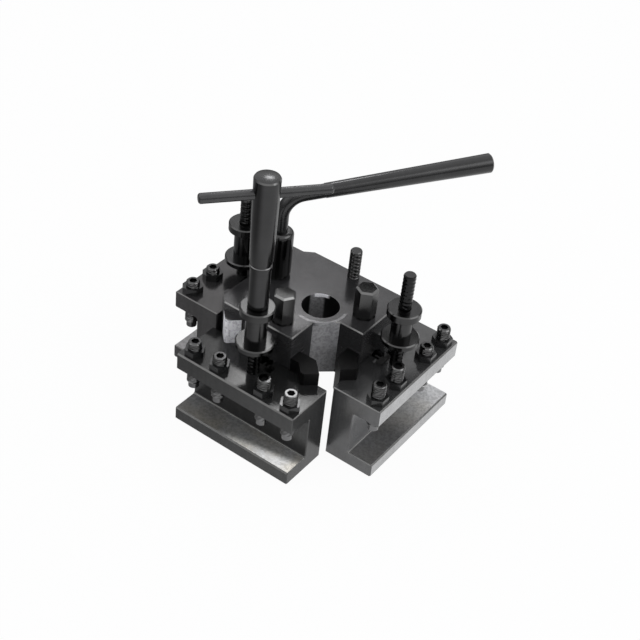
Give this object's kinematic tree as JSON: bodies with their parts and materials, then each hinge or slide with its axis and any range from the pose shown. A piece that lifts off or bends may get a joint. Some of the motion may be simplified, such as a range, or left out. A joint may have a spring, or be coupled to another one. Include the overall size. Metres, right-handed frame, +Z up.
{
  "type": "quick change tool post",
  "caption": "Quick change lathe tool post: square body with cam spindles, slide-on tool holders with clamp screws and height nuts, a tee wrench and a cranked lever.",
  "frame": {"origin": "axis of the clamping stud's bore at the body's underside", "axes": "+Z up, front holder on -Y, right holder on +X, left holder on -X"},
  "size_m": [0.1758, 0.2332, 0.218],
  "materials": {
    "black_body": "black oxide on milled and ground steel",
    "ground_holder": "black oxide with ground bright edges",
    "turned_steel": "black oxide on turned steel",
    "screw_steel": "black oxide, oiled",
    "handle_steel": "black oxide, satin"
  },
  "bodies": {
    "post": {"tool_post_body": "black_body", "rest_lugs": "black_body", "back_stud": "turned_steel", "keeper_screws": "turned_steel"},
    "spindle_front": {"cam_spindle_front": "turned_steel"},
    "bolt_front": {"draw_bolt_front": "turned_steel"},
    "holder_front": {"tool_holder_front": "ground_holder", "height_stud_front": "turned_steel", "lock_nuts_front": "screw_steel"},
    "nut_front": {"height_nut_front": "turned_steel"},
    "screw_front_1": {"clamp_screw_front_1": "screw_steel"},
    "screw_front_2": {"clamp_screw_front_2": "screw_steel"},
    "screw_front_3": {"clamp_screw_front_3": "screw_steel"},
    "screw_front_4": {"clamp_screw_front_4": "screw_steel"},
    "spindle_right": {"cam_spindle_right": "turned_steel"},
    "bolt_right": {"draw_bolt_right": "turned_steel"},
    "holder_right": {"tool_holder_right": "ground_holder", "height_stud_right": "turned_steel", "lock_nuts_right": "screw_steel"},
    "nut_right": {"height_nut_right": "turned_steel"},
    "screw_right_1": {"clamp_screw_right_1": "screw_steel"},
    "screw_right_2": {"clamp_screw_right_2": "screw_steel"},
    "screw_right_3": {"clamp_screw_right_3": "screw_steel"},
    "screw_right_4": {"clamp_screw_right_4": "screw_steel"},
    "spindle_left": {"cam_spindle_left": "turned_steel", "lever_hub": "handle_steel", "lever_rod": "handle_steel", "lever_grip": "handle_steel"},
    "bolt_left": {"draw_bolt_left": "turned_steel"},
    "holder_left": {"tool_holder_left": "ground_holder", "height_stud_left": "turned_steel", "lock_nuts_left": "screw_steel"},
    "nut_left": {"height_nut_left": "turned_steel"},
    "screw_left_1": {"clamp_screw_left_1": "screw_steel"},
    "screw_left_2": {"clamp_screw_left_2": "screw_steel"},
    "screw_left_3": {"clamp_screw_left_3": "screw_steel"},
    "screw_left_4": {"clamp_screw_left_4": "screw_steel"},
    "wrench": {"wrench_stem": "handle_steel"},
    "wrench_bar": {"wrench_bar": "handle_steel"}
  },
  "joints": [
    {"name": "spindle_front_turn", "type": "hinge", "parent": "post", "child": "spindle_front", "pos_m": [-0.0105, -0.0295, 0], "axis": [0, 0, 1], "range_deg": [0, 70]},
    {"name": "bolt_front_draw", "type": "slide", "parent": "post", "child": "bolt_front", "axis": [0, -1, 0], "range_m": [0, 0.00172]},
    {"name": "holder_front_lift", "type": "slide", "parent": "post", "child": "holder_front", "axis": [0, 0, 1], "range_m": [0, 0.045]},
    {"name": "height_nut_front_turn", "type": "hinge", "parent": "holder_front", "child": "nut_front", "pos_m": [-0.0105, -0.06, 0], "axis": [0, 0, 1], "continuous": true},
    {"name": "screw_front_1_travel", "type": "slide", "parent": "holder_front", "child": "screw_front_1", "axis": [0, 0, 1], "range_m": [-0.012, 0.006]},
    {"name": "screw_front_2_travel", "type": "slide", "parent": "holder_front", "child": "screw_front_2", "axis": [0, 0, 1], "range_m": [-0.012, 0.006]},
    {"name": "screw_front_3_travel", "type": "slide", "parent": "holder_front", "child": "screw_front_3", "axis": [0, 0, 1], "range_m": [-0.012, 0.006]},
    {"name": "screw_front_4_travel", "type": "slide", "parent": "holder_front", "child": "screw_front_4", "axis": [0, 0, 1], "range_m": [-0.012, 0.006]},
    {"name": "spindle_right_turn", "type": "hinge", "parent": "post", "child": "spindle_right", "pos_m": [0.0275, 0.0135, 0], "axis": [0, 0, 1], "range_deg": [0, 70]},
    {"name": "bolt_right_draw", "type": "slide", "parent": "post", "child": "bolt_right", "axis": [1, 0, 0], "range_m": [0, 0.00172]},
    {"name": "holder_right_lift", "type": "slide", "parent": "post", "child": "holder_right", "axis": [0, 0, 1], "range_m": [0, 0.045]},
    {"name": "height_nut_right_turn", "type": "hinge", "parent": "holder_right", "child": "nut_right", "pos_m": [0.058, 0.0135, 0], "axis": [0, 0, 1], "continuous": true},
    {"name": "screw_right_1_travel", "type": "slide", "parent": "holder_right", "child": "screw_right_1", "axis": [0, 0, 1], "range_m": [-0.012, 0.006]},
    {"name": "screw_right_2_travel", "type": "slide", "parent": "holder_right", "child": "screw_right_2", "axis": [0, 0, 1], "range_m": [-0.012, 0.006]},
    {"name": "screw_right_3_travel", "type": "slide", "parent": "holder_right", "child": "screw_right_3", "axis": [0, 0, 1], "range_m": [-0.012, 0.006]},
    {"name": "screw_right_4_travel", "type": "slide", "parent": "holder_right", "child": "screw_right_4", "axis": [0, 0, 1], "range_m": [-0.012, 0.006]},
    {"name": "spindle_left_turn", "type": "hinge", "parent": "post", "child": "spindle_left", "pos_m": [-0.0455, 0.009, 0], "axis": [0, 0, 1], "range_deg": [0, 70]},
    {"name": "bolt_left_draw", "type": "slide", "parent": "post", "child": "bolt_left", "axis": [-1, 0, 0], "range_m": [0, 0.00172]},
    {"name": "holder_left_lift", "type": "slide", "parent": "post", "child": "holder_left", "axis": [0, 0, 1], "range_m": [0, 0.045]},
    {"name": "height_nut_left_turn", "type": "hinge", "parent": "holder_left", "child": "nut_left", "pos_m": [-0.076, 0.009, 0], "axis": [0, 0, 1], "continuous": true},
    {"name": "screw_left_1_travel", "type": "slide", "parent": "holder_left", "child": "screw_left_1", "axis": [0, 0, 1], "range_m": [-0.012, 0.006]},
    {"name": "screw_left_2_travel", "type": "slide", "parent": "holder_left", "child": "screw_left_2", "axis": [0, 0, 1], "range_m": [-0.012, 0.006]},
    {"name": "screw_left_3_travel", "type": "slide", "parent": "holder_left", "child": "screw_left_3", "axis": [0, 0, 1], "range_m": [-0.012, 0.006]},
    {"name": "screw_left_4_travel", "type": "slide", "parent": "holder_left", "child": "screw_left_4", "axis": [0, 0, 1], "range_m": [-0.012, 0.006]},
    {"name": "wrench_turn", "type": "hinge", "parent": "holder_front", "child": "wrench", "pos_m": [-0.0105, -0.06, 0], "axis": [0, 0, 1], "continuous": true},
    {"name": "wrench_bar_slide", "type": "slide", "parent": "wrench", "child": "wrench_bar", "axis": [0.6225, 0.7826, 0], "range_m": [-0.03, 0.03]}
  ],
  "couplings": [
    {"joint": "spindle_front_turn", "follows": "bolt_front_draw", "rad_per_m": 710.01},
    {"joint": "spindle_right_turn", "follows": "bolt_right_draw", "rad_per_m": 710.01},
    {"joint": "spindle_left_turn", "follows": "bolt_left_draw", "rad_per_m": 710.01}
  ]
}
